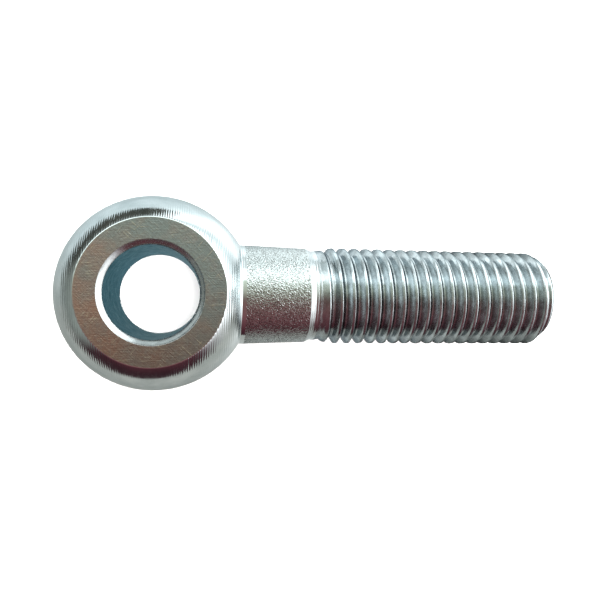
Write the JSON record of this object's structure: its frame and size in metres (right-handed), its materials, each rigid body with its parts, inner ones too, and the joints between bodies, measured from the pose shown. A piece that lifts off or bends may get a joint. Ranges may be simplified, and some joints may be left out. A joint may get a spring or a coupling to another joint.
{
  "type": "eye bolt",
  "caption": "Forged eye bolt: a turned ball eye with two flats and a pin bore, a plain neck and a right-hand coarse-threaded shank, bright zinc plated.",
  "frame": {"origin": "centre of the ball, midway along the pin bore", "axes": "+Z along the pin bore, +X along the shank towards the threaded end, the bolt lies on the eye face whose normal is -Z"},
  "size_m": [0.0995, 0.038, 0.027],
  "materials": {
    "zinc_plated_steel": "bright zinc plated, turned ball, as-forged neck, rolled thread"
  },
  "bodies": {
    "root": {"eye_bolt": "zinc_plated_steel"}
  },
  "joints": []
}
